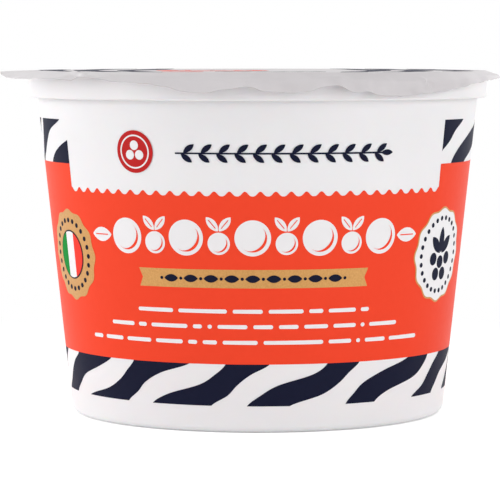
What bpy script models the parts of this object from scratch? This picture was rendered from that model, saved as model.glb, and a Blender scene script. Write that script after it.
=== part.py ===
"""A sealed round plastic tub for soft cheese, shut with a peel-off lidding film.

The tub stands upright on z = 0 with its axis on Z and its shown side towards -Y. The origin is the
centre of its base. Every length is in metres and every angle in degrees.
"""

from math import atan, atan2, cos, degrees, pi, radians, sin

import bmesh
import bpy

# The tub: one injection moulding, a tapered body under a skirted collar.
COLLAR_RADIUS = 0.0475
COLLAR_BOTTOM = 0.0652
RIM_TOP = 0.0701
RIM_ROUND = 0.0005
SKIRT_WALL = 0.0008
SKIRT_GROOVE_TOP = 0.0688
BODY_RADIUS = 0.0386
BODY_FLARE = 0.1073
FOOT_ROUND = 0.0016

# The lidding film: a thin disc sealed to the rim, whose free margin droops round the collar.
FILM_THICKNESS = 0.00025
FILM_GAP = 0.00035
SEAL_RADIUS = 0.0473
MARGIN_LENGTH = 0.0047
FILM_OFFSET = 0.0014
TAB_LENGTH = 0.0016
TAB_AZIMUTH = 34.0
TAB_HALF_WIDTH = 34.0
SHOULDER_LENGTH = 0.0026
BEND_LENGTH = 0.0006
SHOULDER_ANGLE = 42.0
HANG_ANGLE = 90.0
MARGIN_RINGS = 7

# How far the margin hangs, from 0 (flat) to 1 (straight down), round the tub from the left side.
HANGS = (
    (-90.0, 0.03),
    (-66.0, 0.2),
    (-41.5, 0.14),
    (-27.0, 0.32),
    (-11.5, 0.84),
    (-3.1, 0.6),
    (7.0, 1.08),
    (16.9, 0.43),
    (22.0, 0.74),
    (34.0, 1.0),
    (52.0, 0.98),
    (64.0, 0.66),
    (85.0, 0.47),
    (112.0, 0.85),
    (134.0, 0.95),
    (150.0, 0.5),
    (168.0, 0.9),
    (196.0, 0.75),
    (218.0, 0.35),
    (240.0, 0.16),
    (255.0, 0.24),
    (270.0, 0.03),
)

SEGMENTS = 96
ROUND_STEPS = 4
MERGE_DISTANCE = 0.00001
WHITE_PLASTIC = (0.84, 0.84, 0.85, 1.0)
GREY_FILM = (0.62, 0.61, 0.61, 1.0)


def ramp(value, start, end):
    """Returns 0 before start and 1 after end, with a smooth rise between them."""
    share = min(max((value - start) / (end - start), 0.0), 1.0)
    return share * share * (3.0 - 2.0 * share)


def arc(centre, radius, first, last, steps=ROUND_STEPS):
    """Returns the points of an arc about a centre in the profile's plane, from one angle to another."""
    turns = [radians(first + (last - first) * step / steps) for step in range(steps + 1)]
    return [(centre[0] + radius * cos(turn), centre[1] + radius * sin(turn)) for turn in turns]


def body_radius(height):
    """Returns the tapered side wall's radius at a height."""
    return BODY_RADIUS + BODY_FLARE * height


def tub_profile():
    """Returns the tub's outline from the middle of its top, down its outer side, to the middle of its base."""
    taper = atan(BODY_FLARE)
    foot_centre = (body_radius(FOOT_ROUND) - FOOT_ROUND / cos(taper), FOOT_ROUND)
    lip = SKIRT_WALL / 2.0
    points = [(0.0, RIM_TOP)]
    points += arc((COLLAR_RADIUS - RIM_ROUND, RIM_TOP - RIM_ROUND), RIM_ROUND, 90.0, 0.0)
    points += arc((COLLAR_RADIUS - lip, COLLAR_BOTTOM + lip), lip, 0.0, -180.0)
    points.append((COLLAR_RADIUS - SKIRT_WALL, SKIRT_GROOVE_TOP))
    points.append((body_radius(SKIRT_GROOVE_TOP), SKIRT_GROOVE_TOP))
    points += arc(foot_centre, FOOT_ROUND, -degrees(taper), -90.0)
    points.append((0.0, 0.0))
    return points


def hang(azimuth):
    """Returns how far the film's margin hangs at an azimuth, from 0 to 1."""
    azimuth = (azimuth + 90.0) % 360.0 - 90.0
    for (start, low), (end, high) in zip(HANGS, HANGS[1:]):
        if azimuth <= end:
            return low + (high - low) * ramp(azimuth, start, end)
    return HANGS[-1][1]


def margin_length(azimuth):
    """Returns the free margin's width at an azimuth: an off-centre disc with a short pull tab."""
    tab = 1.0 - ramp(abs(azimuth - TAB_AZIMUTH), 0.0, TAB_HALF_WIDTH)
    return MARGIN_LENGTH - FILM_OFFSET * sin(radians(azimuth)) + TAB_LENGTH * tab


def margin_rings(azimuth, height):
    """Returns the margin's (radius, height) points at an azimuth, walked outwards from the seal."""
    step = margin_length(azimuth) / MARGIN_RINGS
    point = (SEAL_RADIUS, height)
    points = []
    for ring in range(MARGIN_RINGS):
        along = (ring + 0.5) * step
        shoulder = SHOULDER_ANGLE * ramp(along, -BEND_LENGTH, BEND_LENGTH)
        drop = (HANG_ANGLE - SHOULDER_ANGLE) * ramp(
            along, SHOULDER_LENGTH - BEND_LENGTH, SHOULDER_LENGTH + BEND_LENGTH
        )
        slope = radians(hang(azimuth) * (shoulder + drop))
        point = (point[0] + step * cos(slope), point[1] - step * sin(slope))
        points.append(point)
    return points


def plastic(name, colour, roughness):
    """Returns a Principled material of one colour."""
    material = bpy.data.materials.new(name)
    material.use_nodes = True
    shader = material.node_tree.nodes["Principled BSDF"]
    shader.inputs["Base Color"].default_value = colour
    shader.inputs["Roughness"].default_value = roughness
    return material


def add_object(name, mesh, material, collection):
    """Returns a new object with this mesh and material, in this collection."""
    mesh.materials.append(material)
    obj = bpy.data.objects.new(name, mesh)
    collection.objects.link(obj)
    return obj


def make_tub(collection):
    """Makes the sealed tub: its outline turned about the Z axis."""
    mesh = bpy.data.meshes.new("tub")
    points = [(radius, 0.0, height) for radius, height in tub_profile()]
    mesh.from_pydata(points, [(i, i + 1) for i in range(len(points) - 1)], [])
    tub = add_object("tub", mesh, plastic("white_polypropylene", WHITE_PLASTIC, 0.35), collection)
    screw = tub.modifiers.new("turn", "SCREW")
    screw.axis = "Z"
    screw.angle = 2.0 * pi
    screw.steps = SEGMENTS
    screw.render_steps = SEGMENTS
    screw.use_merge_vertices = True
    screw.merge_threshold = MERGE_DISTANCE
    return tub


def make_lid_film(collection):
    """Makes the lidding film: a flat disc, extruded ring by ring into its drooping margin."""
    height = RIM_TOP + FILM_GAP + FILM_THICKNESS
    bm = bmesh.new()
    bmesh.ops.create_circle(bm, cap_ends=True, cap_tris=True, segments=SEGMENTS, radius=SEAL_RADIUS)
    bmesh.ops.translate(bm, verts=bm.verts, vec=(0.0, 0.0, height))
    edges = [edge for edge in bm.edges if edge.is_boundary]
    for ring in range(MARGIN_RINGS):
        made = bmesh.ops.extrude_edge_only(bm, edges=edges)["geom"]
        edges = [item for item in made if isinstance(item, bmesh.types.BMEdge) and item.is_boundary]
        for vertex in (item for item in made if isinstance(item, bmesh.types.BMVert)):
            turn = atan2(vertex.co.x, -vertex.co.y)
            radius, lowered = margin_rings(degrees(turn), height)[ring]
            vertex.co = (radius * sin(turn), -radius * cos(turn), lowered)
    bmesh.ops.recalc_face_normals(bm, faces=bm.faces)
    if max(bm.faces, key=lambda face: face.calc_area()).normal.z < 0.0:
        bmesh.ops.reverse_faces(bm, faces=bm.faces)
    mesh = bpy.data.meshes.new("lid_film")
    bm.to_mesh(mesh)
    bm.free()
    film = add_object("lid_film", mesh, plastic("lidding_film", GREY_FILM, 0.4), collection)
    wall = film.modifiers.new("film_thickness", "SOLIDIFY")
    wall.thickness = FILM_THICKNESS
    wall.offset = -1.0
    return film


def main():
    """Clears the scene and builds the sealed tub."""
    for obj in list(bpy.data.objects):
        bpy.data.objects.remove(obj, do_unlink=True)
    collection = bpy.data.collections.new("sealed_cheese_tub")
    bpy.context.scene.collection.children.link(collection)
    make_tub(collection)
    make_lid_film(collection)


main()
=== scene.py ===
"""Looks of a sealed round tub of soft cheese pearls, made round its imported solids.

The tub stands on z = 0 with its axis on Z and the front of its print towards -Y. Lengths are in
metres and angles in degrees. An azimuth is 0 at the front and grows towards +X.

The moulding and the lidding film are finer copies of their solids. The label's print is made as
sheets a few hundredths of a millimetre thick: each ink is drawn flat on the unrolled wall from
simple shapes, sliced, wrapped round the cone and given its thickness.
"""

import logging
from collections.abc import Callable, Sequence
from dataclasses import dataclass, field
from enum import Enum
from math import atan, atan2, cos, degrees, hypot, pi, radians, sin, tau

import bpy
from mathutils import Matrix, Vector

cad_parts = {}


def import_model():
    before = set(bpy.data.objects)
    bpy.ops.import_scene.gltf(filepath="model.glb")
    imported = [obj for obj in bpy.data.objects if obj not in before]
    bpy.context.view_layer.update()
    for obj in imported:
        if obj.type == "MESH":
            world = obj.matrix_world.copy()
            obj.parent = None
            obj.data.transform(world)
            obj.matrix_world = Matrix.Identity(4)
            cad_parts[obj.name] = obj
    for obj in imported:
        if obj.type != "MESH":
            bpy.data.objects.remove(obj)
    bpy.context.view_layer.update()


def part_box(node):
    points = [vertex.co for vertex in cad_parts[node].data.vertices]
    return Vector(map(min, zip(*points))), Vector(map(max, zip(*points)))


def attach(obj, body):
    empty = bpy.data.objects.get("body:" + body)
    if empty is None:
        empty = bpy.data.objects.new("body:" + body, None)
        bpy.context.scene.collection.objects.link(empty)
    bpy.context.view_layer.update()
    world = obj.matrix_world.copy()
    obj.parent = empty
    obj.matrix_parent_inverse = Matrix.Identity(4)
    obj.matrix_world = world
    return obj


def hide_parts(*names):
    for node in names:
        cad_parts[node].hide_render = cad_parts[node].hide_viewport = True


LOG = logging.getLogger("sealed_tub")
MM = 0.001
BODY = "root"

Colour = tuple[float, float, float, float]
Point = tuple[float, float]


class Slot(Enum):
    """The record's material slots."""

    TUB = "tub_plastic"
    FILM = "lidding_film"
    PRINT = "label_print"


def linear_colour(code: str) -> Colour:
    """Turns an sRGB hex colour to linear light.

    Args:
        code: Six hex digits, such as "F34C32".

    Returns:
        Red, green and blue in linear light, and an alpha of 1.
    """
    shares = [int(code[i : i + 2], 16) / 255 for i in (0, 2, 4)]
    red, green, blue = [s / 12.92 if s <= 0.04045 else ((s + 0.055) / 1.055) ** 2.4 for s in shares]
    return (red, green, blue, 1.0)


def ramp(value: float, start: float, end: float) -> float:
    """Rises smoothly from 0 at start to 1 at end.

    Args:
        value: Where to read the rise.
        start: The value that gives 0.
        end: The value that gives 1.

    Returns:
        A share from 0 to 1.
    """
    share = min(max((value - start) / (end - start), 0.0), 1.0)
    return share * share * (3.0 - 2.0 * share)


def curve_through(values: Sequence[float], share: float) -> float:
    """Reads a smooth curve through evenly spaced values.

    Args:
        values: The curve's values, from share 0 to share 1.
        share: Where to read it, from 0 to 1.

    Returns:
        The curve's value there.
    """
    last = len(values) - 1
    place = min(max(share, 0.0), 1.0) * last
    i = min(int(place), last - 1)
    t = place - i
    a, b = values[max(i - 1, 0)], values[i]
    c, d = values[i + 1], values[min(i + 2, last)]
    return b + 0.5 * t * (c - a + t * (2 * a - 5 * b + 4 * c - d + t * (3 * (b - c) + d - a)))


def polar(reach: float, angle: float) -> Point:
    """Returns the point at a distance from the origin, at an angle in degrees."""
    return (reach * cos(radians(angle)), reach * sin(radians(angle)))


# ---------------------------------------------------------------- finishes


def add_node(
    tree: bpy.types.NodeTree,
    kind: str,
    inputs: dict[str | int, object],
    **settings: object,
) -> bpy.types.Node:
    """Adds a shader node with its settings and links.

    Args:
        tree: The node tree that takes it.
        kind: The node's type, such as "ShaderNodeTexNoise".
        inputs: A value, or an output socket to link, for each named or numbered input.
        **settings: The node's own attributes.

    Returns:
        The new node.
    """
    node = tree.nodes.new(kind)
    for name, value in settings.items():
        setattr(node, name, value)
    for name, value in inputs.items():
        if isinstance(value, bpy.types.NodeSocket):
            tree.links.new(value, node.inputs[name])
        else:
            node.inputs[name].default_value = value
    return node


@dataclass(frozen=True)
class Finish:
    """A moulded, printed or filmed plastic surface.

    Attributes:
        name: What the material is.
        light: Its lighter colour, in sRGB hex.
        dark: The colour its mottle drifts to, in sRGB hex.
        mottle: The mottle's patch size.
        roughness: How far gloss spreads.
        gloss_drift: How much roughness changes from patch to patch.
        relief: The depth of the surface's slight unevenness.
        relief_size: The width of that unevenness.
        specular: Specular level, 0.5 for common plastics.
        metallic: The share of metal pigment.
        milkiness: The weight of the light that passes under the surface.
    """

    name: str
    light: str
    dark: str
    mottle: float
    roughness: float
    gloss_drift: float = 0.04
    relief: float = 0.004 * MM
    relief_size: float = 1.6 * MM
    specular: float = 0.5
    metallic: float = 0.0
    milkiness: float = 0.0

    def material(self) -> bpy.types.Material:
        """Builds the finish's node material, or returns the one already built."""
        made = bpy.data.materials.get(self.name)
        if made:
            return made
        made = bpy.data.materials.new(self.name)
        made.use_nodes = True
        tree = made.node_tree
        shader = tree.nodes["Principled BSDF"]
        place = add_node(tree, "ShaderNodeTexCoord", {}).outputs["Object"]
        patches = add_node(
            tree, "ShaderNodeTexNoise", {"Vector": place, "Scale": 1.0 / self.mottle, "Detail": 3.0}
        )
        tint = add_node(
            tree,
            "ShaderNodeMix",
            {
                "Factor": patches.outputs["Fac"],
                "A": linear_colour(self.light),
                "B": linear_colour(self.dark),
            },
            data_type="RGBA",
        )
        gloss = add_node(
            tree,
            "ShaderNodeMapRange",
            {
                "Value": patches.outputs["Fac"],
                "To Min": self.roughness - self.gloss_drift,
                "To Max": self.roughness + self.gloss_drift,
            },
        )
        unevenness = add_node(
            tree,
            "ShaderNodeTexNoise",
            {"Vector": place, "Scale": 1.0 / self.relief_size, "Detail": 1.0},
        )
        bump = add_node(
            tree,
            "ShaderNodeBump",
            {"Height": unevenness.outputs["Fac"], "Distance": self.relief, "Strength": 1.0},
        )
        tree.links.new(tint.outputs["Result"], shader.inputs["Base Color"])
        tree.links.new(gloss.outputs["Result"], shader.inputs["Roughness"])
        tree.links.new(bump.outputs["Normal"], shader.inputs["Normal"])
        shader.inputs["Specular IOR Level"].default_value = self.specular
        shader.inputs["Metallic"].default_value = self.metallic
        if self.milkiness:
            shader.inputs["Subsurface Weight"].default_value = self.milkiness
            shader.inputs["Subsurface Scale"].default_value = 1.5 * MM
        return made


# Injection-moulded polypropylene: milky white with a satin face, so that lamps spread into soft bands.
MOULDED_WHITE = Finish("moulded_polypropylene_white", "EBEAEB", "E8E7E9", 9.0 * MM, 0.36, milkiness=0.1)
# The same white where the label's clear varnish lies over it.
LABEL_WHITE = Finish("varnished_label_white", "EBEAEB", "E9E8EA", 9.0 * MM, 0.34)
# Offset inks under varnish: flat, strong colour with a faint press mottle.
INK_ORANGE = Finish("varnished_orange_red_ink", "F1492E", "EE462B", 1.2 * MM, 0.42, specular=0.05)
INK_NAVY = Finish("varnished_navy_ink", "1B1E33", "181B2F", 1.6 * MM, 0.46, specular=0.03)
INK_RED = Finish("varnished_crimson_ink", "C02424", "B82121", 1.0 * MM, 0.4, specular=0.08)
INK_FLAG_RED = Finish("varnished_scarlet_ink", "F03A2D", "EC3729", 1.0 * MM, 0.4, specular=0.06)
INK_GREEN = Finish("varnished_green_ink", "0A8C35", "0A8633", 1.0 * MM, 0.45, specular=0.03)
# Gold ink: bronze flakes in varnish, whose sparkle is drawn coarse enough to show as a fine grain.
INK_GOLD = Finish(
    "bronze_flake_gold_ink", "DAA55F", "B9823C", 0.35 * MM, 0.42, gloss_drift=0.1, metallic=0.15
)
# Laminated lidding film: thin, slightly grey, faintly crinkled and duller than the tub.
LIDDING = Finish(
    "laminated_lidding_film",
    "CECACC",
    "C7C3C5",
    4.0 * MM,
    0.5,
    relief=0.02 * MM,
    relief_size=3.0 * MM,
    specular=0.2,
)
# The film's own inks lie on a matt laminate and shine least.
LID_WHITE = Finish("matt_white_film_ink", "DFDCDE", "DAD7D9", 5.0 * MM, 0.6, specular=0.2)
LID_NAVY = Finish("matt_navy_film_ink", "1D2138", "1A1D32", 2.0 * MM, 0.6, specular=0.12)
LID_ORANGE = Finish("matt_orange_red_film_ink", "EE4630", "E9422C", 2.0 * MM, 0.6, specular=0.15)


# ---------------------------------------------------------------- modelling helpers


def deselect_all() -> None:
    """Leaves edit mode and deselects every object."""
    if bpy.context.mode != "OBJECT":
        bpy.ops.object.mode_set(mode="OBJECT")
    bpy.ops.object.select_all(action="DESELECT")


def select_only(obj: bpy.types.Object) -> None:
    """Selects one object and makes it active."""
    deselect_all()
    obj.select_set(True)
    bpy.context.view_layer.objects.active = obj


def join(objects: Sequence[bpy.types.Object]) -> bpy.types.Object:
    """Joins mesh objects into the first of them.

    Args:
        objects: At least one mesh object.

    Returns:
        The joined object.
    """
    select_only(objects[0])
    for obj in objects[1:]:
        obj.select_set(True)
    if len(objects) > 1:
        bpy.ops.object.join()
    return bpy.context.view_layer.objects.active


def copy_of(obj: bpy.types.Object) -> bpy.types.Object:
    """Returns a copy of an object, with a mesh of its own."""
    twin = obj.copy()
    twin.data = obj.data.copy()
    bpy.context.collection.objects.link(twin)
    return twin


def thicken(obj: bpy.types.Object, thickness: float) -> None:
    """Gives an open sheet its thickness, towards its back.

    Args:
        obj: The sheet, whose faces point outwards.
        thickness: How thick it becomes.
    """
    select_only(obj)
    wall = obj.modifiers.new("thickness", "SOLIDIFY")
    wall.thickness = thickness
    wall.offset = -1.0
    bpy.ops.object.modifier_apply(modifier=wall.name)


def finish_piece(obj: bpy.types.Object, name: str, finish: Finish) -> None:
    """Names a piece, smooths it, dresses it and lets it ride on the tub.

    Args:
        obj: The finished mesh object.
        name: The piece's name.
        finish: Its finish.
    """
    select_only(obj)
    bpy.ops.object.shade_smooth_by_angle(angle=radians(35.0))
    obj.name = name
    obj.data.name = name
    obj.data.materials.clear()
    obj.data.materials.append(finish.material())
    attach(obj, BODY)
    deselect_all()
    LOG.info("%s: %d faces", name, len(obj.data.polygons))


# ---------------------------------------------------------------- the moulding


@dataclass
class TubMoulding:
    """The tub's one moulding: a tapered body under a skirted collar.

    Attributes:
        collar_radius: Radius of the collar's outer face.
        rim_top: Height of the rim's sealing face.
        collar_bottom: Height of the skirt's lower lip.
        skirt_wall: Thickness of the skirt.
        groove_top: Height of the groove's ceiling behind the skirt.
        body_radius: Radius of the side wall's line at the base.
        flare: Growth of the side wall's radius for each unit of height.
        foot_round: Radius of the rounded foot.
        rim_round: Radius of the rim's outer edge.
        sides: Steps round the moulding.
    """

    collar_radius: float
    rim_top: float
    collar_bottom: float = 65.2 * MM
    skirt_wall: float = 0.8 * MM
    groove_top: float = 68.8 * MM
    body_radius: float = 38.6 * MM
    flare: float = 0.1073
    foot_round: float = 1.6 * MM
    rim_round: float = 0.5 * MM
    sides: int = 256

    def radius_at(self, height: float) -> float:
        """Returns the side wall's radius at a height."""
        return self.body_radius + self.flare * height

    def outline(self) -> list[Point]:
        """Returns the moulding's (radius, height) points, from the edge of its base up to the rim."""
        taper = atan(self.flare)
        foot = (self.radius_at(self.foot_round) - self.foot_round / cos(taper), self.foot_round)
        lip = self.skirt_wall / 2
        lip_centre = (self.collar_radius - lip, self.collar_bottom + lip)
        rim_centre = (self.collar_radius - self.rim_round, self.rim_top - self.rim_round)
        points = self._arc(foot, self.foot_round, -90.0, -degrees(taper), 10)
        points.append((self.radius_at(self.groove_top), self.groove_top))
        points.append((self.collar_radius - self.skirt_wall, self.groove_top))
        points += self._arc(lip_centre, lip, -180.0, 0.0, 10)
        points += self._arc(rim_centre, self.rim_round, 0.0, 90.0, 6)
        points.append((self.collar_radius - 2.5 * MM, self.rim_top))
        return points

    @staticmethod
    def _arc(centre: Point, radius: float, first: float, last: float, steps: int) -> list[Point]:
        """Returns an arc's points in the outline's plane.

        Args:
            centre: The arc's centre, as radius and height.
            radius: The arc's radius.
            first: The angle it starts at.
            last: The angle it ends at.
            steps: How many steps it takes.

        Returns:
            Its (radius, height) points.
        """
        spokes = [polar(radius, first + (last - first) * step / steps) for step in range(steps + 1)]
        return [(centre[0] + out, centre[1] + up) for out, up in spokes]

    def build(self) -> bpy.types.Object:
        """Raises the moulding from its base disc, ring by ring, and shuts it at the rim.

        Returns:
            The moulding's object.
        """
        points = self.outline()
        deselect_all()
        bpy.ops.mesh.primitive_circle_add(
            vertices=self.sides, radius=points[0][0], fill_type="NGON", location=(0.0, 0.0, 0.0)
        )
        tub = bpy.context.active_object
        bpy.ops.object.mode_set(mode="EDIT")
        bpy.ops.mesh.select_mode(type="EDGE")
        bpy.ops.mesh.select_all(action="SELECT")
        bpy.ops.mesh.region_to_loop()
        for (radius, height), (wider, higher) in zip(points, points[1:]):
            bpy.ops.mesh.extrude_edges_move(
                TRANSFORM_OT_translate={"value": (0.0, 0.0, higher - height)}
            )
            scale = wider / radius
            bpy.ops.transform.resize(value=(scale, scale, 1.0), center_override=(0.0, 0.0, higher))
        bpy.ops.mesh.edge_face_add()
        bpy.ops.mesh.select_all(action="SELECT")
        bpy.ops.mesh.normals_make_consistent(inside=False)
        bpy.ops.object.mode_set(mode="OBJECT")
        finish_piece(tub, "tub_moulding", MOULDED_WHITE)
        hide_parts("tub")
        return tub


# ---------------------------------------------------------------- the lidding film


@dataclass(frozen=True)
class Fold:
    """A soft dent or ridge pressed into the film's free margin.

    Attributes:
        azimuth: Where round the tub it lies.
        half_width: How far it reaches to each side, in degrees.
        along: How far out from the seal its middle lies.
        reach: How far it reaches along the margin, each way.
        rise: How far it stands out, or in if negative.
        lean: How far its middle drifts round the tub for each millimetre along, in degrees.
    """

    azimuth: float
    half_width: float
    along: float
    reach: float
    rise: float
    lean: float = 0.0

    def at(self, azimuth: float, along: float) -> float:
        """Returns how far the fold lifts the film at an azimuth and a distance from the seal."""
        middle = self.azimuth + self.lean * (along - self.along) / MM
        side = abs((azimuth - middle + 180.0) % 360.0 - 180.0) / self.half_width
        out = abs(along - self.along) / self.reach
        return self.rise * (1.0 - ramp(side, 0.0, 1.0)) * (1.0 - ramp(out, 0.0, 1.0))


@dataclass
class LiddingFilm:
    """The peel-off film: a disc cut flat, sealed on the rim, whose loose margin droops.

    Attributes:
        top: Height of the film's upper face.
        seal_radius: Where the film leaves the rim.
        thickness: The film's thickness.
        margin: The loose margin's mean width.
        offset: How far the disc was laid towards the left.
        tab: How much longer the margin is at its pull tab.
        tab_azimuth: Where the tab lies.
        tab_half_width: How far the tab reaches to each side, in degrees.
        shoulder: How far from the seal the margin's crease lies.
        shoulder_angle: The margin's slope before the crease, where it hangs fully.
        hang_angle: Its slope past the crease.
        hangs: How far the margin hangs at azimuths round the tub, from 0 (flat) to 1.
        folds: Dents and ridges in the margin.
        sides: Steps round the film.
        margin_rings: Steps across the margin.
    """

    top: float
    seal_radius: float = 47.3 * MM
    thickness: float = 0.1 * MM
    margin: float = 4.7 * MM
    offset: float = 1.4 * MM
    tab: float = 1.6 * MM
    tab_azimuth: float = 34.0
    tab_half_width: float = 34.0
    shoulder: float = 2.6 * MM
    shoulder_angle: float = 42.0
    hang_angle: float = 90.0
    hangs: tuple[Point, ...] = (
        (-90.0, 0.03),
        (-66.0, 0.2),
        (-48.0, 0.19),
        (-43.8, 0.24),
        (-41.5, 0.14),
        (-27.0, 0.32),
        (-11.5, 0.84),
        (-3.1, 0.6),
        (7.0, 1.08),
        (16.9, 0.43),
        (22.0, 0.74),
        (34.0, 1.0),
        (52.0, 0.98),
        (64.0, 0.66),
        (85.0, 0.47),
        (112.0, 0.85),
        (134.0, 0.95),
        (150.0, 0.5),
        (168.0, 0.9),
        (196.0, 0.75),
        (218.0, 0.35),
        (240.0, 0.16),
        (255.0, 0.24),
        (270.0, 0.03),
    )
    folds: tuple[Fold, ...] = (
        Fold(-44.6, 2.6, 2.6 * MM, 3.4 * MM, 0.5 * MM, lean=2.4),
        Fold(-40.0, 3.6, 2.2 * MM, 3.0 * MM, -0.3 * MM, lean=2.2),
        Fold(38.6, 2.4, 4.3 * MM, 1.5 * MM, 0.5 * MM),
        Fold(41.4, 1.1, 3.2 * MM, 2.4 * MM, 0.5 * MM, lean=0.6),
        Fold(43.3, 1.5, 3.6 * MM, 1.7 * MM, -0.45 * MM, lean=0.8),
        Fold(26.0, 2.4, 3.6 * MM, 1.8 * MM, -0.2 * MM),
        Fold(31.0, 1.6, 3.2 * MM, 1.8 * MM, 0.15 * MM),
        Fold(-8.5, 2.2, 4.0 * MM, 1.2 * MM, 0.15 * MM),
        Fold(9.0, 1.6, 3.8 * MM, 1.4 * MM, 0.15 * MM),
        Fold(62.0, 6.0, 2.6 * MM, 1.6 * MM, -0.2 * MM),
        Fold(126.0, 3.0, 3.4 * MM, 2.0 * MM, 0.45 * MM),
        Fold(131.0, 2.0, 3.0 * MM, 2.2 * MM, -0.35 * MM, lean=1.2),
        Fold(176.0, 2.6, 3.6 * MM, 1.6 * MM, 0.4 * MM),
        Fold(204.0, 3.4, 3.0 * MM, 2.6 * MM, -0.4 * MM, lean=-1.5),
    )
    sides: int = 720
    margin_rings: int = 18

    def hang(self, azimuth: float) -> float:
        """Returns how far the margin hangs at an azimuth, with its fine waviness."""
        turn = (azimuth + 90.0) % 360.0 - 90.0
        for (start, low), (end, high) in zip(self.hangs, self.hangs[1:]):
            if turn <= end:
                base = low + (high - low) * ramp(turn, start, end)
                break
        waves = sin(radians(23 * turn + 40)) + 0.7 * sin(radians(41 * turn))
        waves += 0.5 * sin(radians(67 * turn + 75))
        return base + 0.035 * waves * ramp(base, 0.1, 0.7)

    def length(self, azimuth: float) -> float:
        """Returns the margin's width at an azimuth."""
        away = abs((azimuth - self.tab_azimuth + 180.0) % 360.0 - 180.0)
        tab = 1.0 - ramp(away, 0.0, self.tab_half_width)
        nicks = sin(radians(53 * azimuth)) + sin(radians(97 * azimuth + 30))
        nicks += 1.4 * sin(radians(151 * azimuth)) * ramp(sin(radians(11 * azimuth + 70)), 0.0, 1.0)
        return self.margin - self.offset * sin(radians(azimuth)) + self.tab * tab + 0.045 * MM * nicks

    def meridian(self, azimuth: float) -> list[Point]:
        """Walks the margin outwards at an azimuth.

        Args:
            azimuth: Where round the tub.

        Returns:
            A (radius, height) point for the seal's edge and for each ring past it.
        """
        hang, length = self.hang(azimuth), self.length(azimuth)
        step = length / self.margin_rings
        bend = 0.6 * MM
        point = (self.seal_radius, self.top)
        points = [point]
        for ring in range(self.margin_rings):
            along = (ring + 0.5) * step
            slope = self.shoulder_angle * ramp(along, -bend, bend)
            slope += (self.hang_angle - self.shoulder_angle) * ramp(
                along, self.shoulder - 0.35 * MM, self.shoulder + 0.35 * MM
            )
            slope = radians(hang * slope - 25.0 * hang * ramp(along, length - 0.3 * MM, length))
            point = (point[0] + step * cos(slope), point[1] - step * sin(slope))
            lift = sum(fold.at(azimuth, along) for fold in self.folds)
            points.append((point[0] + lift * sin(slope), point[1] + lift * cos(slope)))
        return points

    def relief(self, radius: float, azimuth: float) -> float:
        """Returns how far the sealed disc's upper face lies below the film's top.

        Args:
            radius: Distance from the axis.
            azimuth: Where round the tub.

        Returns:
            A small depth, 0 at the rim.
        """
        slack = 0.12 * MM * (1.0 - (radius / self.seal_radius) ** 2)
        pull = 0.02 * MM * sin(radians(9 * azimuth)) * ramp(radius, 20 * MM, 40 * MM)
        pull *= 1.0 - ramp(radius, 40 * MM, 44.5 * MM)
        seal_edge = 0.07 * MM * (1.0 - ramp(abs(radius - 44.9 * MM), 0.0, 0.5 * MM))
        return slack + pull + seal_edge

    def disc_rings(self) -> list[float]:
        """Returns the radii of the rings on the sealed disc, closer together at the seal."""
        inner = [step * 2.4 * MM for step in range(2, 19)]
        seal = [radius * MM for radius in (43.9, 44.4, 44.65, 44.9, 45.15, 45.4, 46.4)]
        return [*inner, *seal, self.seal_radius]

    def build(self) -> bpy.types.Object:
        """Cuts the film flat as rings round a disc, then drapes it and gives it its thickness.

        Returns:
            The film's object.
        """
        inner = self.disc_rings()
        step = self.margin / self.margin_rings
        rings = inner + [self.seal_radius + step * (i + 1) for i in range(self.margin_rings)]
        deselect_all()
        bpy.ops.mesh.primitive_circle_add(
            vertices=self.sides, radius=rings[0], fill_type="TRIFAN", location=(0.0, 0.0, self.top)
        )
        film = bpy.context.active_object
        film.data.transform(Matrix.Translation(film.location))
        film.location = (0.0, 0.0, 0.0)
        bpy.ops.object.mode_set(mode="EDIT")
        bpy.ops.mesh.select_mode(type="EDGE")
        bpy.ops.mesh.select_all(action="SELECT")
        bpy.ops.mesh.region_to_loop()
        for radius, wider in zip(rings, rings[1:]):
            bpy.ops.mesh.extrude_edges_move(TRANSFORM_OT_translate={"value": (0.0, 0.0, 0.0)})
            scale = wider / radius
            bpy.ops.transform.resize(value=(scale, scale, 1.0), center_override=(0.0, 0.0, self.top))
        bpy.ops.mesh.select_all(action="SELECT")
        bpy.ops.mesh.normals_make_consistent(inside=False)
        bpy.ops.object.mode_set(mode="OBJECT")
        self._drape(film, step)
        self._face_up(film)
        thicken(film, self.thickness)
        finish_piece(film, "lidding_film", LIDDING)
        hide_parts("lid_film")
        return film

    def _drape(self, film: bpy.types.Object, step: float) -> None:
        """Moves the flat disc's points to where the sealed film lies.

        Args:
            film: The flat film.
            step: The spacing of the margin's flat rings.
        """
        columns: dict[int, list[Point]] = {}
        for vertex in film.data.vertices:
            radius = hypot(vertex.co.x, vertex.co.y)
            turn = atan2(vertex.co.x, -vertex.co.y)
            if radius <= self.seal_radius + step / 2:
                vertex.co.z = self.top - self.relief(radius, degrees(turn))
                continue
            column = round(degrees(turn) / 360.0 * self.sides)
            if column not in columns:
                columns[column] = self.meridian(degrees(turn))
            ring = round((radius - self.seal_radius) / step)
            wide, height = columns[column][ring]
            vertex.co = (wide * sin(turn), -wide * cos(turn), height)

    @staticmethod
    def _face_up(film: bpy.types.Object) -> None:
        """Turns the film's faces over if its disc looks down."""
        film.data.update()
        if film.data.polygons[0].normal.z < 0.0:
            select_only(film)
            bpy.ops.object.mode_set(mode="EDIT")
            bpy.ops.mesh.select_all(action="SELECT")
            bpy.ops.mesh.flip_normals()
            bpy.ops.object.mode_set(mode="OBJECT")


# ---------------------------------------------------------------- surfaces that carry print


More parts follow.
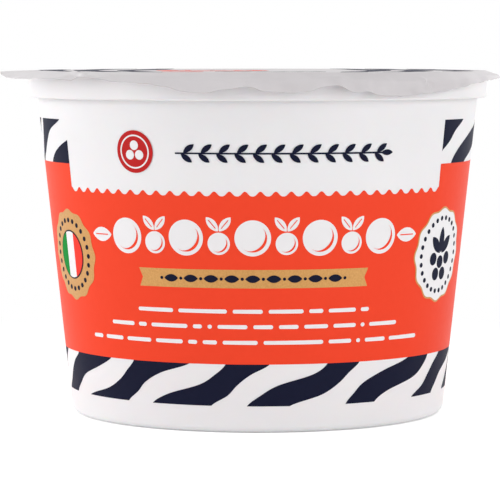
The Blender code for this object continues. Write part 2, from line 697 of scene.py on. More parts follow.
@dataclass(frozen=True)
class Spot:
    """A place on a flat sheet of print, and how true sizes are stretched there.

    Attributes:
        x: The sheet's first coordinate.
        y: The sheet's second coordinate.
        stretch_x: Sheet length for each unit of true width.
        stretch_y: Sheet length for each unit of true height.
    """

    x: float
    y: float
    stretch_x: float = 1.0
    stretch_y: float = 1.0


@dataclass(frozen=True)
class WallSurface:
    """The tub's tapered wall, unrolled: x is azimuth times a fixed radius, y is height.

    Attributes:
        tub: The moulding whose wall it is.
        centre: The azimuth of the print's middle.
        unroll: The fixed radius that turns azimuths to lengths.
        slice_width: Widest strip of print that stays flat, in degrees.
    """

    tub: TubMoulding
    centre: float = -1.4
    unroll: float = 45.0 * MM
    slice_width: float = 2.0

    def spot(self, azimuth: float, height: float) -> Spot:
        """Returns the sheet's place for an azimuth from the print's middle and a height."""
        wide = self.unroll / self.tub.radius_at(height)
        return Spot(radians(azimuth) * self.unroll, height, wide, cos(atan(self.tub.flare)))

    def beside(self, azimuth: float, height: float, x: float = 0.0, y: float = 0.0) -> Spot:
        """Returns the sheet's place at true distances from another place.

        Args:
            azimuth: The other place's azimuth from the print's middle.
            height: Its height.
            x: How far to its right.
            y: How far above it.

        Returns:
            The sheet's place there.
        """
        return self.spot(azimuth + degrees(x / self.tub.radius_at(height)), height + y)

    def wrap(self, x: float, y: float, lift: float) -> Vector:
        """Returns the point in space of a sheet's point, lifted off the wall."""
        turn = x / self.unroll + radians(self.centre)
        radius = self.tub.radius_at(y) + lift
        return Vector((radius * sin(turn), -radius * cos(turn), y))

    def slices(self, low: Vector, high: Vector) -> list[tuple[Vector, Vector]]:
        """Returns the planes that cut a flat sheet finely enough to wrap it.

        Args:
            low: The sheet's lowest corner.
            high: Its highest corner.

        Returns:
            A point and a normal for each plane.
        """
        pitch = radians(self.slice_width) * self.unroll
        first, last = round(low.x / pitch), round(high.x / pitch)
        return [(Vector((i * pitch, 0, 0)), Vector((1, 0, 0))) for i in range(first, last + 1)]


@dataclass(frozen=True)
class LidSurface:
    """The sealed film's upper face, whose sheet lies as the film does.

    Attributes:
        film: The film that carries the print.
        slice_width: Widest piece of print that stays flat.
    """

    film: LiddingFilm
    slice_width: float = 4.0 * MM

    def wrap(self, x: float, y: float, lift: float) -> Vector:
        """Returns the point in space of a sheet's point, lifted off the film."""
        sunk = self.film.relief(hypot(x, y), degrees(atan2(x, -y)))
        return Vector((x, y, self.film.top - sunk + lift))

    def slices(self, low: Vector, high: Vector) -> list[tuple[Vector, Vector]]:
        """Returns the planes that cut a flat sheet finely enough to follow the film.

        Args:
            low: The sheet's lowest corner.
            high: Its highest corner.

        Returns:
            A point and a normal for each plane.
        """
        planes = []
        for axis in range(2):
            normal = Vector((1 - axis, axis, 0))
            first, last = round(low[axis] / self.slice_width), round(high[axis] / self.slice_width)
            planes += [(normal * i * self.slice_width, normal) for i in range(first, last + 1)]
        return planes


Surface = WallSurface | LidSurface


class Layer(Enum):
    """How many inks lie under a sheet of print, counting its own."""

    FIRST = 1
    SECOND = 2
    THIRD = 3
    FOURTH = 4


# ---------------------------------------------------------------- flat shapes


class Shapes:
    """Flat shapes of print, each one face or grid centred on the origin of the XY plane."""

    @staticmethod
    def disc(radius: float, sides: int = 40) -> bpy.types.Object:
        """Adds a round disc.

        Args:
            radius: The disc's radius.
            sides: Steps round it.

        Returns:
            Its object.
        """
        deselect_all()
        bpy.ops.mesh.primitive_circle_add(vertices=sides, radius=radius, fill_type="NGON")
        return bpy.context.active_object

    @classmethod
    def ring(cls, outer: float, inner: float, sides: int = 64) -> bpy.types.Object:
        """Adds a round ring: a disc inset, with its middle taken out.

        Args:
            outer: The ring's outer radius.
            inner: Its inner radius.
            sides: Steps round it.

        Returns:
            Its object.
        """
        ring = cls.disc(outer, sides)
        bpy.ops.object.mode_set(mode="EDIT")
        bpy.ops.mesh.select_mode(type="FACE")
        bpy.ops.mesh.select_all(action="SELECT")
        bpy.ops.mesh.inset(thickness=outer - inner)
        bpy.ops.mesh.delete(type="FACE")
        bpy.ops.object.mode_set(mode="OBJECT")
        return ring

    @classmethod
    def warped(cls, sides: int, place: Callable[[float], Point]) -> bpy.types.Object:
        """Adds a disc and moves its edge to a closed outline.

        Args:
            sides: Points on the outline.
            place: Gives the outline's point for an angle, in radians.

        Returns:
            Its object.
        """
        shape = cls.disc(1.0, sides)
        for vertex in shape.data.vertices:
            x, y = place(atan2(vertex.co.y, vertex.co.x))
            vertex.co = (x, y, 0.0)
        return shape

    @classmethod
    def rosette(cls, radius: float, lobes: int = 12, depth: float = 0.028) -> bpy.types.Object:
        """Adds a badge with a softly lobed edge.

        Args:
            radius: The badge's mean radius.
            lobes: How many lobes it has.
            depth: How deep they are, as a share of the radius.

        Returns:
            Its object.
        """

        def edge(turn: float) -> Point:
            reach = radius * (1.0 + depth * cos(lobes * turn))
            return (reach * cos(turn), reach * sin(turn))

        return cls.warped(lobes * 16, edge)

    @classmethod
    def leaf(cls, length: float, width: float) -> bpy.types.Object:
        """Adds a leaf, pointed at both ends, along x.

        Args:
            length: From tip to tip.
            width: Across its middle.

        Returns:
            Its object.
        """
        return cls.warped(
            20, lambda turn: (length / 2 * cos(turn), width / 2 * sin(turn) * abs(sin(turn)) ** 0.7)
        )

    @classmethod
    def bar(cls, width: float, height: float) -> bpy.types.Object:
        """Adds a bar with round ends, along x.

        Args:
            width: From end to end.
            height: How thick it is.

        Returns:
            Its object.
        """
        half = (width - height) / 2

        def edge(turn: float) -> Point:
            side = half if cos(turn) >= 0.0 else -half
            return (height / 2 * cos(turn) + side, height / 2 * sin(turn))

        return cls.warped(14, edge)

    @classmethod
    def crescent(cls, radius: float, waist: float) -> bpy.types.Object:
        """Adds a crescent that opens to the left.

        Args:
            radius: The radius of its outer edge.
            waist: Its greatest thickness, as a share of the radius.

        Returns:
            Its object.
        """

        def edge(turn: float) -> Point:
            x = cos(turn) if cos(turn) >= 0.0 else -cos(turn) * (1.0 - waist)
            return (radius * x, radius * sin(turn))

        return cls.warped(36, edge)

    @classmethod
    def ribbon(cls, width: float, height: float, notch: float) -> bpy.types.Object:
        """Adds a ribbon with a swallow-tail notch at each end.

        Args:
            width: From end to end.
            height: How tall it is.
            notch: How deep each notch is.

        Returns:
            Its object.
        """
        deselect_all()
        bpy.ops.mesh.primitive_grid_add(x_subdivisions=1, y_subdivisions=2, size=1.0)
        ribbon = bpy.context.active_object
        for vertex in ribbon.data.vertices:
            inwards = notch if abs(vertex.co.y) < 0.25 else 0.0
            side = 1.0 if vertex.co.x > 0.0 else -1.0
            vertex.co = (vertex.co.x * width - side * inwards, vertex.co.y * height, 0.0)
        return ribbon

    @staticmethod
    def grid(columns: int, rows: int, place: Callable[[float, float], Point]) -> bpy.types.Object:
        """Adds a grid and moves its points.

        Args:
            columns: Faces along x.
            rows: Faces along y.
            place: Gives a point's place for its shares of the way along x and y.

        Returns:
            Its object.
        """
        deselect_all()
        bpy.ops.mesh.primitive_grid_add(x_subdivisions=columns, y_subdivisions=rows, size=1.0)
        grid = bpy.context.active_object
        for vertex in grid.data.vertices:
            x, y = place(vertex.co.x + 0.5, vertex.co.y + 0.5)
            vertex.co = (x, y, 0.0)
        return grid


@dataclass
class PrintSheet:
    """One ink of the print: flat shapes, later wrapped on a surface as a single thin piece.

    Attributes:
        name: The piece's name.
        finish: The ink's finish.
        layer: How high it lies over the surface.
        surface: What it is printed on.
        repeats: How many times it is printed round the wall.
        shapes: The flat shapes added so far.
        pitch: How far apart two layers' faces lie.
        thickness: How thick the piece is.
    """

    name: str
    finish: Finish
    layer: Layer
    surface: Surface
    repeats: int = 2
    shapes: list[bpy.types.Object] = field(default_factory=list)
    pitch: float = 0.04 * MM
    thickness: float = 0.03 * MM

    def add(self, shape: bpy.types.Object, spot: Spot | None = None, turn: float = 0.0) -> None:
        """Lays a shape on the sheet.

        Args:
            shape: A flat shape, centred on the origin, or already in the sheet's coordinates.
            spot: Where its middle goes, or None if it is already in place.
            turn: How far it is turned first, anticlockwise.
        """
        if spot:
            stretch = Matrix.Diagonal((spot.stretch_x, spot.stretch_y, 1.0, 1.0))
            move = Matrix.Translation((spot.x, spot.y, 0.0))
            shape.data.transform(move @ stretch @ Matrix.Rotation(radians(turn), 4, "Z"))
        self.shapes.append(shape)

    def add_copies(self, shape: bpy.types.Object, places: Sequence[tuple[Spot, float]]) -> None:
        """Lays copies of one shape on the sheet.

        Args:
            shape: A flat shape centred on the origin, which is used up.
            places: A spot and a turn for each copy.
        """
        for spot, turn in places:
            self.add(copy_of(shape), spot, turn)
        bpy.data.objects.remove(shape, do_unlink=True)

    def finish_sheet(self) -> bpy.types.Object:
        """Joins the shapes, repeats them, wraps them on the surface and makes them one piece.

        Returns:
            The piece's object.
        """
        sheet = join(self.shapes)
        if isinstance(self.surface, WallSurface):
            step = tau * self.surface.unroll / self.repeats
            twins = [copy_of(sheet) for _ in range(self.repeats - 1)]
            for i, twin in enumerate(twins):
                twin.data.transform(Matrix.Translation((step * (i + 1), 0.0, 0.0)))
            sheet = join([sheet, *twins])
        self._face_up(sheet)
        self._slice(sheet)
        lift = self.pitch * self.layer.value
        for vertex in sheet.data.vertices:
            vertex.co = self.surface.wrap(vertex.co.x, vertex.co.y, lift)
        select_only(sheet)
        bpy.ops.object.mode_set(mode="EDIT")
        bpy.ops.mesh.select_all(action="SELECT")
        bpy.ops.mesh.remove_doubles(threshold=0.002 * MM)
        bpy.ops.object.mode_set(mode="OBJECT")
        thicken(sheet, self.thickness)
        finish_piece(sheet, self.name, self.finish)
        return sheet

    @staticmethod
    def _face_up(sheet: bpy.types.Object) -> None:
        """Turns over the faces of a flat sheet that look down."""
        sheet.data.update()
        select_only(sheet)
        bpy.ops.object.mode_set(mode="EDIT")
        bpy.ops.mesh.select_mode(type="FACE")
        bpy.ops.mesh.select_all(action="DESELECT")
        bpy.ops.object.mode_set(mode="OBJECT")
        for face in sheet.data.polygons:
            face.select = face.normal.z < 0.0
        bpy.ops.object.mode_set(mode="EDIT")
        bpy.ops.mesh.flip_normals()
        bpy.ops.object.mode_set(mode="OBJECT")

    def _slice(self, sheet: bpy.types.Object) -> None:
        """Bisects a flat sheet finely enough for its surface."""
        spots = [vertex.co for vertex in sheet.data.vertices]
        low = Vector((min(s.x for s in spots), min(s.y for s in spots), 0.0))
        high = Vector((max(s.x for s in spots), max(s.y for s in spots), 0.0))
        select_only(sheet)
        bpy.ops.object.mode_set(mode="EDIT")
        for place, normal in self.surface.slices(low, high):
            bpy.ops.mesh.select_all(action="SELECT")
            bpy.ops.mesh.bisect(plane_co=place, plane_no=normal)
        bpy.ops.object.mode_set(mode="OBJECT")


# ---------------------------------------------------------------- the label's print


Placer = Callable[[float, float], Spot]


@dataclass(frozen=True)
class Seal:
    """A plain roundel with a white ring and three pearls.

    Attributes:
        ring_outer: The ring's outer radius.
        ring_inner: Its inner radius.
        pearl_reach: From the seal's middle to a pearl's.
        pearl_radius: A pearl's radius.
        radius: The whole seal's radius.
    """

    ring_outer: float
    ring_inner: float
    pearl_reach: float
    pearl_radius: float
    radius: float = 4.2 * MM

    def lay(self, ground: PrintSheet, white: PrintSheet, place: Placer) -> None:
        """Lays the seal.

        Args:
            ground: The sheet that takes its disc.
            white: The sheet that takes its ring and pearls.
            place: Gives the spot for true distances from the seal's middle.
        """
        ground.add(Shapes.disc(self.radius, 64), place(0.0, 0.0))
        white.add(Shapes.ring(self.ring_outer, self.ring_inner), place(0.0, 0.0))
        for angle in (90.0, 210.0, 330.0):
            white.add(Shapes.disc(self.pearl_radius, 28), place(*polar(self.pearl_reach, angle)))


@dataclass(frozen=True)
class Sprig:
    """A straight stalk with pairs of leaves.

    Attributes:
        half: Half the stalk's length.
        first: From the stalk's left end to its first pair.
        pitch: From pair to pair.
        pairs: How many pairs it has.
    """

    half: float
    first: float
    pitch: float
    pairs: int

    @staticmethod
    def leaf() -> bpy.types.Object:
        """Adds one of its leaves."""
        return Shapes.leaf(2.7 * MM, 1.15 * MM)

    def lay(self, ink: PrintSheet, place: Placer) -> None:
        """Lays the sprig.

        Args:
            ink: The sheet that takes it.
            place: Gives the spot for true distances from the stalk's middle.
        """
        ink.add(Shapes.bar(2 * self.half, 0.34 * MM), place(0.0, 0.0))
        for i in range(self.pairs):
            for side in (1.0, -1.0):
                along = self.first - self.half + i * self.pitch + side * 0.25 * MM
                ink.add(self.leaf(), place(along, side * 0.95 * MM), side * 36.0)


@dataclass(frozen=True)
class Stripe:
    """A zebra stripe between two heights.

    Attributes:
        left: Azimuths of its left edge, evenly spaced from its top to its foot.
        right: Azimuths of its right edge.
    """

    left: tuple[float, ...]
    right: tuple[float, ...]

    def shape(
        self, surface: WallSurface, top: float, foot: float, bare: float = 0.0
    ) -> bpy.types.Object:
        """Adds the stripe in the sheet's coordinates.

        Args:
            surface: The wall that it is printed on.
            top: The height of its upper end.
            foot: The height of its lower end.
            bare: How far to each side of the print's middle it is cut away, in degrees.

        Returns:
            Its object.
        """
        side = 1.0 if self.left[0] > 0.0 else -1.0

        def place(across: float, up: float) -> Point:
            left = curve_through(self.left, 1.0 - up)
            right = curve_through(self.right, 1.0 - up)
            azimuth = left + (right - left) * across - surface.centre
            if bare:
                azimuth = side * max(side * azimuth, bare)
            return (radians(azimuth) * surface.unroll, foot + (top - foot) * up)

        return Shapes.grid(8, 28, place)


@dataclass
class LabelPrint:
    """The print round the tub: an orange band between zebra stripes, under a bare panel, and ornaments.

    Attributes:
        wall: The wall that carries it.
        label_foot: Height of the label's lower edge.
        band_foot: Height of the orange band's lower edge.
        band_top: Height of its upper edge beside the panel.
        label_top: Height of the label's upper edge.
        tooth_low: Height that the bare panel's scallops reach down to.
        tooth_high: Height of the orange points between them.
        tooth_count: How many scallops the panel has.
        tooth_pitch: Their spacing, in degrees.
        lower_stripes: The stripes under the band.
        upper_stripes: The stripes over the band, beside the panel.
    """

    wall: WallSurface
    label_foot: float = 5.4 * MM
    band_foot: float = 13.73 * MM
    band_top: float = 52.3 * MM
    label_top: float = 61.1 * MM
    tooth_low: float = 46.75 * MM
    tooth_high: float = 47.7 * MM
    tooth_count: int = 29
    tooth_pitch: float = 3.94
    lower_stripes: tuple[Stripe, ...] = (
        Stripe((-92.0, -96.0, -99.5, -102.5, -105.5), (-77.0, -81.5, -86.0, -90.0, -94.0)),
        Stripe((-65.1, -69.6, -72.8, -75.3, -78.7), (-46.9, -53.0, -61.3, -65.5, -69.0)),
        Stripe((-37.8, -40.6, -43.8, -49.3, -59.5), (-19.6, -28.5, -34.0, -37.0, -40.8)),
        Stripe((-9.1, -12.2, -16.9, -26.5, -32.0), (3.2, -2.1, -5.9, -8.7, -13.5)),
        Stripe((19.9, 15.8, 5.8, 0.6, -3.2), (29.9, 26.6, 23.4, 18.4, 9.1)),
        Stripe((48.4, 38.8, 31.9, 28.7, 26.1), (58.7, 56.4, 51.8, 41.0, 36.0)),
        Stripe((66.7, 63.0, 60.0, 57.0, 51.8), (82.0, 77.0, 70.0, 66.5, 63.6)),
    )
    upper_stripes: tuple[Stripe, ...] = (
        Stripe((-76.5, -77.5, -79.0, -81.0, -84.0), (-61.9, -69.3, -73.3, -76.7, -81.4)),
        Stripe((-38.0, -49.0, -59.6, -66.6, -70.0), (-25.0, -33.0, -40.0, -46.0, -52.0)),
        Stripe((50.0, 46.0, 42.0, 38.0, 34.0), (66.7, 62.1, 59.1, 54.5, 48.0)),
        Stripe((90.0, 77.5, 69.3, 64.0, 61.3), (100.0, 95.5, 89.0, 79.0, 71.2)),
    )

    def sheet(self, name: str, finish: Finish, layer: Layer) -> PrintSheet:
        """Starts a sheet of one ink on the wall."""
        return PrintSheet(name, finish, layer, self.wall)

    def build(self) -> None:
        """Prints every ink of the label."""
        self.print_bands()
        self.print_ornaments()

    def panel_reach(self) -> float:
        """Returns how far the bare panel reaches to each side of the print's middle, in degrees."""
        return self.tooth_count * self.tooth_pitch / 2

    def print_bands(self) -> None:
        """Prints the orange band, scalloped under the bare panel, and the zebra stripes."""
        band = self.sheet("print_orange_band", INK_ORANGE, Layer.FIRST)
        reach = radians(self.panel_reach()) * self.wall.unroll
        end = pi / 2 * self.wall.unroll

        def right_place(across: float, up: float) -> Point:
            x = reach + (end - reach) * across
            return (x, self.band_foot + (self.band_top - self.band_foot) * up)

        def left_place(across: float, up: float) -> Point:
            x, y = right_place(across, up)
            return (-x, y)

        def middle_place(across: float, up: float) -> Point:
            tooth = 0.5 + 0.5 * cos(tau * across * self.tooth_count)
            top = self.tooth_low + (self.tooth_high - self.tooth_low) * tooth**1.5
            return ((2.0 * across - 1.0) * reach, self.band_foot + (top - self.band_foot) * up)

        band.add(Shapes.grid(16, 4, right_place))
        band.add(Shapes.grid(16, 4, left_place))
        band.add(Shapes.grid(self.tooth_count * 12, 4, middle_place))
        band.finish_sheet()
        zebra = self.sheet("print_zebra_stripes", INK_NAVY, Layer.FIRST)
        for stripe in self.lower_stripes:
            zebra.add(stripe.shape(self.wall, self.band_foot, self.label_foot))
        for stripe in self.upper_stripes:
            zebra.add(stripe.shape(self.wall, self.label_top, self.band_top, self.panel_reach()))
        zebra.finish_sheet()

    def print_ornaments(self) -> None:
        """Prints the pearls, ribbon, roundels, sprigs and bars that stand where a label has words."""
        white = self.sheet("print_white_ornaments", LABEL_WHITE, Layer.SECOND)
        gold = self.sheet("print_gold", INK_GOLD, Layer.SECOND)
        shade = self.sheet("print_orange_shading", INK_ORANGE, Layer.THIRD)
        navy = self.sheet("print_navy_details", INK_NAVY, Layer.THIRD)
        red = self.sheet("print_red_details", INK_RED, Layer.THIRD)
        flag_red = self.sheet("print_scarlet_details", INK_FLAG_RED, Layer.FOURTH)
        green = self.sheet("print_green_details", INK_GREEN, Layer.FOURTH)
        top_white = self.sheet("print_white_details", LABEL_WHITE, Layer.FOURTH)
        self._pearls(white, shade)
        self._word_bars(white)
        self._ribbon(gold, navy)
        self._sprig(navy)
        Seal(3.35 * MM, 3.05 * MM, 1.25 * MM, 0.95 * MM).lay(red, top_white, self._near(-31.3, 55.2 * MM))
        self._flag_badge(gold, navy, (green, top_white, flag_red))
        self._sprig_badge(gold, navy)
        for sheet in (white, gold, shade, navy, red, flag_red, green, top_white):
            sheet.finish_sheet()

    def _near(self, azimuth: float, height: float) -> Placer:
        """Returns a function that gives spots at true distances from a place on the wall."""

        def place(x: float, y: float) -> Spot:
            return self.wall.beside(azimuth, height, x, y)

        return place

    def _pearls(self, white: PrintSheet, shade: PrintSheet) -> None:
        """Lays the row of cheese pearls, large and small in turn, with leaves on the small ones."""
        near = self._near(0.0, 38.6 * MM)
        pitch = 6.65 * MM
        for i in range(-4, 5):
            big = i % 2 == 0
            size = 3.55 * MM if big else 2.2 * MM
            spot = near(i * pitch, 0.0 if big else -1.1 * MM)
            white.add(Shapes.disc(size, 56), spot)
            shade.add(Shapes.crescent(size * 0.78, 0.2), spot, -40.0)
            if big:
                continue
            for side in (-1.0, 1.0):
                spot = near(i * pitch + side * 1.25 * MM, 2.7 * MM)
                white.add(Shapes.leaf(3.6 * MM, 1.7 * MM), spot, side * 50.0)
                shade.add(Shapes.bar(2.2 * MM, 0.18 * MM), spot, side * 50.0)
        for side in (-1.0, 1.0):
            spot = near(side * 33.4 * MM, 0.0)
            white.add(Shapes.leaf(5.4 * MM, 2.9 * MM), spot)
            shade.add(Shapes.bar(3.6 * MM, 0.22 * MM), spot)

    def _word_bars(self, white: PrintSheet) -> None:
        """Lays three lines of short bars under the ribbon."""
        lines = (
            (24.2 * MM, (8, 10, 6, 7, 3, 6, 2)),
            (21.15 * MM, (6, 2, 8, 2, 1, 6, 4, 4, 5, 5, 1, 7)),
            (18.05 * MM, (3, 5, 6, 6, 2, 3, 7, 12, 5, 1, 5, 8)),
        )
        unit = 1.0 * MM
        for height, words in lines:
            start = -(sum(words) + len(words) - 1) * unit / 2
            for word in words:
                bar = Shapes.bar((word - 0.12) * unit, 0.82 * MM)
                white.add(bar, self.wall.beside(0.0, height, start + word * unit / 2))
                start += (word + 1) * unit

    def _ribbon(self, gold: PrintSheet, navy: PrintSheet) -> None:
        """Lays the gold swallow-tail ribbon and its row of diamonds and dots."""
        height, half_width, pitch = 30.6 * MM, 32.2, 4.1 * MM
        near = self._near(0.0, height)
        width = 2 * radians(half_width) * self.wall.tub.radius_at(height)
        gold.add(Shapes.ribbon(width, 3.65 * MM, 0.75 * MM), near(0.0, 0.0))
        diamonds = [(near(i * pitch, 0.0), 0.0) for i in range(-4, 5)]
        navy.add_copies(Shapes.leaf(2.9 * MM, 1.5 * MM), diamonds)
        dots = [(near((i + 0.5) * pitch, 0.0), 0.0) for i in range(-5, 5)]
        navy.add_copies(Shapes.disc(0.32 * MM, 12), dots)

    def _sprig(self, navy: PrintSheet) -> None:
        """Lays a straight sprig of leaves on the bare panel, with a leaf at its tip."""
        near = self._near(8.0, 55.05 * MM)
        sprig = Sprig(half=21.6 * MM, first=2.6 * MM, pitch=3.55 * MM, pairs=12)
        sprig.lay(navy, near)
        navy.add(sprig.leaf(), near(sprig.half, 0.0))

    @staticmethod
    def _dot_ring(navy: PrintSheet, near: Placer, reach: float, count: int) -> None:
        """Lays a ring of small dots.

        Args:
            navy: The sheet that takes them.
            near: Gives the spot for true distances from the ring's middle.
            reach: The ring's radius.
            count: How many dots it has.
        """
        places = [(near(*polar(reach, 360.0 * i / count)), 0.0) for i in range(count)]
        navy.add_copies(Shapes.disc(0.5 * MM, 14), places)

    def _flag_badge(self, gold: PrintSheet, navy: PrintSheet, thirds: Sequence[PrintSheet]) -> None:
        """Lays the gold badge at the left, with a roundel in three upright bars of colour.

        Args:
            gold: The sheet that takes its rosette.
            navy: The sheet that takes its dots and the roundel's edge.
            thirds: The sheets that take the roundel's bars, from left to right.
        """
        near = self._near(-61.2, 33.8 * MM)
        spot = near(0.0, 0.0)
        gold.add(Shapes.rosette(9.05 * MM), spot)
        navy.add(Shapes.disc(5.0 * MM, 64), spot)
        self._dot_ring(navy, near, 6.95 * MM, 24)
        radius = 4.7 * MM
        for i, sheet in enumerate(thirds):
            low = (2 * i / 3 - 1) * radius
            sheet.add(self._bar_of_disc(radius, low, low + 2 * radius / 3), spot)

    @staticmethod
    def _bar_of_disc(radius: float, low: float, high: float) -> bpy.types.Object:
        """Adds the part of a disc between two upright lines.

        Args:
            radius: The disc's radius.
            low: Where the left line stands.
            high: Where the right line stands.

        Returns:
            Its object.
        """
        piece = Shapes.disc(radius, 64)
        bpy.ops.object.mode_set(mode="EDIT")
        for x, keep_right in ((low, True), (high, False)):
            bpy.ops.mesh.select_all(action="SELECT")
            bpy.ops.mesh.bisect(
                plane_co=(x, 0.0, 0.0),
                plane_no=(1.0, 0.0, 0.0),
                clear_inner=keep_right,
                clear_outer=not keep_right,
            )
        bpy.ops.object.mode_set(mode="OBJECT")
        return piece

    def _sprig_badge(self, gold: PrintSheet, navy: PrintSheet) -> None:
        """Lays the white badge at the right, edged in gold, with three leaves over five pearls."""
        near = self._near(61.7, 33.9 * MM)
        spot = near(0.0, 0.0)
        gold.add(Shapes.rosette(9.5 * MM), spot)
        self._dot_ring(navy, near, 7.4 * MM, 26)
        for angle, reach, length in ((90.0, 3.0, 5.2), (136.0, 2.9, 4.8), (44.0, 2.9, 4.8)):
            navy.add(Shapes.leaf(length * MM, 2.2 * MM), near(*polar(reach * MM, angle)), angle)
        for x, y in ((-2.9, -0.8), (0.0, -1.5), (2.9, -0.8), (-1.5, -3.9), (1.5, -3.9)):
            navy.add(Shapes.disc(1.3 * MM, 28), near(x * MM, y * MM))
        badge = PrintSheet("print_white_badge", LABEL_WHITE, Layer.SECOND, self.wall, pitch=0.05 * MM)
        badge.add(Shapes.rosette(9.15 * MM), spot)
        badge.finish_sheet()


# ---------------------------------------------------------------- the lid's print


@dataclass
class LidPrint:
    """The print on the film: zebra stripes round an orange roundel with pearls.

    Attributes:
        surface: The film's upper face.
        reach: How far from the axis the print reaches.
        roundel: The orange roundel's radius.
        stripe_wave: How far a stripe sways to each side.
    """

    surface: LidSurface
    reach: float = 46.4 * MM
    roundel: float = 11.5 * MM
    stripe_wave: float = 3.4 * MM

    def sheet(self, name: str, finish: Finish, layer: Layer) -> PrintSheet:
        """Starts a sheet of one ink on the lid."""
        return PrintSheet(name, finish, layer, self.surface)

    def build(self) -> None:
        """Prints every ink of the lid."""
        navy = self.sheet("lid_print_navy", LID_NAVY, Layer.FIRST)
        orange = self.sheet("lid_print_orange", LID_ORANGE, Layer.FIRST)
        white = self.sheet("lid_print_white", LID_WHITE, Layer.SECOND)
        stripes = ((-40.5, 4.4), (-32.5, 4.8), (-24.0, 4.2), (22.0, 4.6), (30.0, 4.8), (38.5, 4.4))
        for middle, breadth in stripes:
            navy.add(self._stripe(middle * MM, breadth * MM))
        self._roundel(orange, white)
        self._front(navy, orange, white)
        for sheet in (navy, orange, white):
            sheet.finish_sheet()

    def _roundel(self, orange: PrintSheet, white: PrintSheet) -> None:
        """Lays the scalloped orange roundel, with pearls and leaves on it."""
        near = self._near(-9.5 * MM, 6.0 * MM)
        orange.add(Shapes.rosette(self.roundel, lobes=24, depth=0.03), near(0.0, 0.0))
        white.add(Shapes.disc(2.1 * MM, 48), near(0.0, 0.0))
        for angle in range(0, 360, 60):
            white.add(Shapes.disc(2.1 * MM, 48), near(*polar(5.1 * MM, angle)))
            between = angle + 30.0
            white.add(Shapes.leaf(3.3 * MM, 1.5 * MM), near(*polar(8.2 * MM, between)), between)

    def _front(self, navy: PrintSheet, orange: PrintSheet, white: PrintSheet) -> None:
        """Lays a small seal and a sprig towards the front of the lid."""
        seal = Seal(3.5 * MM, 3.15 * MM, 1.3 * MM, 1.0 * MM)
        seal.lay(orange, white, self._near(-15.0 * MM, -27.0 * MM))
        sprig = Sprig(half=11.0 * MM, first=2.5 * MM, pitch=3.5 * MM, pairs=6)
        sprig.lay(navy, self._near(2.5 * MM, -27.0 * MM))

    @staticmethod
    def _near(middle_x: float, middle_y: float) -> Placer:
        """Returns a function that gives spots at distances from a place on the lid."""

        def place(x: float, y: float) -> Spot:
            return Spot(middle_x + x, middle_y + y)

        return place

    def _stripe(self, middle: float, breadth: float) -> bpy.types.Object:
        """Adds one wavy stripe across the lid, cut off at the print's round edge.

        Args:
            middle: Where it crosses the lid's middle line.
            breadth: How broad it is there.

        Returns:
            Its object.
        """

        inner = abs(middle) - breadth / 2 - self.stripe_wave
        tall = (self.reach**2 - inner**2) ** 0.5

        def place(across: float, up: float) -> Point:
            y = (2.0 * up - 1.0) * tall
            wave = self.stripe_wave * sin(3.2 * y / self.reach + 60.0 * middle)
            width = breadth * (1.0 + 0.2 * sin(5.1 * y / self.reach + 300.0 * middle))
            x = middle + wave + width * (across - 0.5)
            limit = max(self.reach**2 - y * y, 0.0) ** 0.5
            return (min(max(x, -limit), limit), y)

        return Shapes.grid(4, 48, place)


# ---------------------------------------------------------------- the studio


def seeing_rays(tree: bpy.types.NodeTree) -> bpy.types.NodeSocket:
    """Marks the rays that look at a surface rather than light it.

    Args:
        tree: The node tree that needs the mark.

    Returns:
        A socket that gives 1 for camera, glossy and transmission rays and 0 for all others.
    """
    rays = add_node(tree, "ShaderNodeLightPath", {}).outputs
    two = add_node(
        tree,
        "ShaderNodeMath",
        {0: rays["Is Camera Ray"], 1: rays["Is Glossy Ray"]},
        operation="MAXIMUM",
    )
    three = add_node(
        tree,
        "ShaderNodeMath",
        {0: two.outputs["Value"], 1: rays["Is Transmission Ray"]},
        operation="MAXIMUM",
    )
    return three.outputs["Value"]


@dataclass(frozen=True)
class SoftBox:
    """A square soft lamp that faces the tub.

    Attributes:
        name: The lamp's name.
        azimuth: Where it stands round the tub.
        power: Its power, in watts.
        height: Its height over the table.
        reach: Its distance from the axis, over the table.
        size: The length of its sides.
    """

    name: str
    azimuth: float
    power: float
    height: float = 0.26
    reach: float = 0.62
    size: float = 0.4

    def build(self) -> None:
        """Adds the lamp."""
        turn = radians(self.azimuth)
        place = Vector((self.reach * sin(turn), -self.reach * cos(turn), self.height))
        aim = Vector((0.0, 0.0, 0.035)) - place
        bpy.ops.object.light_add(
            type="AREA", location=place, rotation=aim.to_track_quat("-Z", "Y").to_euler()
        )
        lamp = bpy.context.active_object
        lamp.name = self.name
        lamp.data.shape = "SQUARE"
        lamp.data.size = self.size
        lamp.data.energy = self.power


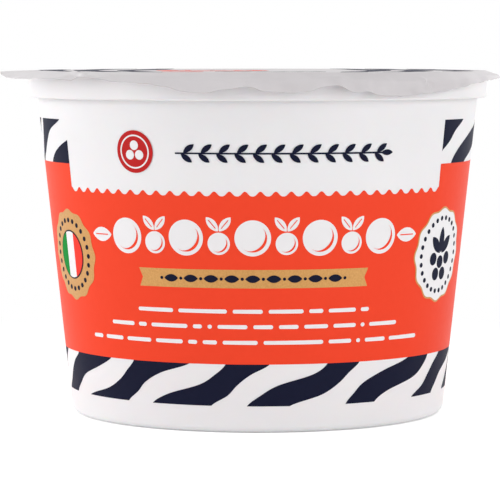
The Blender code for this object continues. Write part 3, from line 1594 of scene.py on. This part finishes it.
@dataclass
class Studio:
    """A plain pale table, soft lamps and the camera.

    Attributes:
        distance: From the camera to the tub's axis.
        height: Of the camera over the table.
        aside: How far the camera stands to the left of the axis.
        pitch: How far it looks down.
        focal: The lens's focal length, in millimetres, on a 36 mm sensor.
        lamps: The soft boxes.
    """

    distance: float = 577.0 * MM
    height: float = 75.4 * MM
    aside: float = 1.57 * MM
    pitch: float = 4.18
    focal: float = 199.3
    lamps: tuple[SoftBox, ...] = (
        SoftBox("left_box", -60.0, 1.15, height=0.18),
        SoftBox("far_left_box", -95.0, 1.15),
        SoftBox("right_box", 52.0, 1.6, height=0.18),
        SoftBox("rear_left_box", -145.0, 1.0),
        SoftBox("rear_right_box", 145.0, 1.0),
        SoftBox("overhead_box", 0.0, 1.2, height=0.70, reach=0.25, size=0.5),
    )

    def build(self) -> None:
        """Sets up the view, the camera, the lamps, the world and the table."""
        bpy.context.scene.view_settings.view_transform = "Standard"
        self._camera()
        for lamp in self.lamps:
            lamp.build()
        self._world()
        self._table()

    def _camera(self) -> None:
        """Adds the camera."""
        deselect_all()
        bpy.ops.object.camera_add(
            location=(-self.aside, -self.distance, self.height),
            rotation=(radians(90.0 - self.pitch), 0.0, 0.0),
        )
        camera = bpy.context.active_object
        camera.data.lens = self.focal
        camera.data.sensor_width = 36.0
        bpy.context.scene.camera = camera

    @staticmethod
    def _world() -> None:
        """Lights the tub from a room that is dimmer at the front, and shows white behind it."""
        world = bpy.data.worlds.new("studio")
        bpy.context.scene.world = world
        world.use_nodes = True
        tree = world.node_tree
        tree.nodes.clear()
        sky = add_node(tree, "ShaderNodeTexCoord", {}).outputs["Generated"]
        ways = add_node(tree, "ShaderNodeSeparateXYZ", {"Vector": sky})
        room = add_node(
            tree,
            "ShaderNodeMapRange",
            {"Value": ways.outputs["Y"], "From Min": -1.0, "To Min": 0.3, "To Max": 0.6},
        )
        lit = add_node(tree, "ShaderNodeBackground", {"Strength": room.outputs["Result"]})
        lit.inputs["Color"].default_value = (1.0, 1.0, 1.0, 1.0)
        seen = add_node(tree, "ShaderNodeBackground", {"Color": (1.0, 1.0, 1.0, 1.0), "Strength": 1.0})
        either = add_node(
            tree,
            "ShaderNodeMixShader",
            {0: seeing_rays(tree), 1: lit.outputs["Background"], 2: seen.outputs["Background"]},
        )
        add_node(tree, "ShaderNodeOutputWorld", {"Surface": either.outputs["Shader"]})

    @staticmethod
    def _table() -> None:
        """Lays the pale table, which fades to white away from the tub's shadow."""
        deselect_all()
        bpy.ops.mesh.primitive_circle_add(vertices=96, radius=1.5, fill_type="NGON")
        table = bpy.context.active_object
        table.name = "table"
        material = bpy.data.materials.new("white_laminate_table")
        material.use_nodes = True
        tree = material.node_tree
        tree.nodes.clear()
        face = add_node(tree, "ShaderNodeBsdfDiffuse", {"Color": (0.9, 0.9, 0.9, 1.0)})
        glow = add_node(tree, "ShaderNodeEmission", {"Strength": 0.35})
        near = add_node(
            tree, "ShaderNodeAddShader", {0: face.outputs["BSDF"], 1: glow.outputs["Emission"]}
        )
        white = add_node(tree, "ShaderNodeEmission", {"Strength": 1.0})
        place = add_node(tree, "ShaderNodeTexCoord", {}).outputs["Object"]
        away = add_node(tree, "ShaderNodeVectorMath", {0: place}, operation="LENGTH")
        fade = add_node(
            tree,
            "ShaderNodeMapRange",
            {"Value": away.outputs["Value"], "From Min": 0.06, "From Max": 0.2},
            interpolation_type="SMOOTHSTEP",
        )
        shown = add_node(
            tree,
            "ShaderNodeMixShader",
            {0: fade.outputs["Result"], 1: near.outputs["Shader"], 2: white.outputs["Emission"]},
        )
        either = add_node(
            tree,
            "ShaderNodeMixShader",
            {0: seeing_rays(tree), 1: face.outputs["BSDF"], 2: shown.outputs["Shader"]},
        )
        add_node(tree, "ShaderNodeOutputMaterial", {"Surface": either.outputs["Shader"]})
        table.data.materials.append(material)


def main() -> None:
    """Builds the tub's looks round its frame."""
    logging.basicConfig(level=logging.INFO, format="%(message)s")
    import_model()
    tub_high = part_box("tub")[1]
    film_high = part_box("lid_film")[1]
    moulding = TubMoulding(collar_radius=tub_high[0], rim_top=tub_high[2])
    moulding.build()
    film = LiddingFilm(top=film_high[2])
    film.build()
    LabelPrint(WallSurface(moulding)).build()
    LidPrint(LidSurface(film)).build()
    Studio().build()


if __name__ == "__main__":
    main()
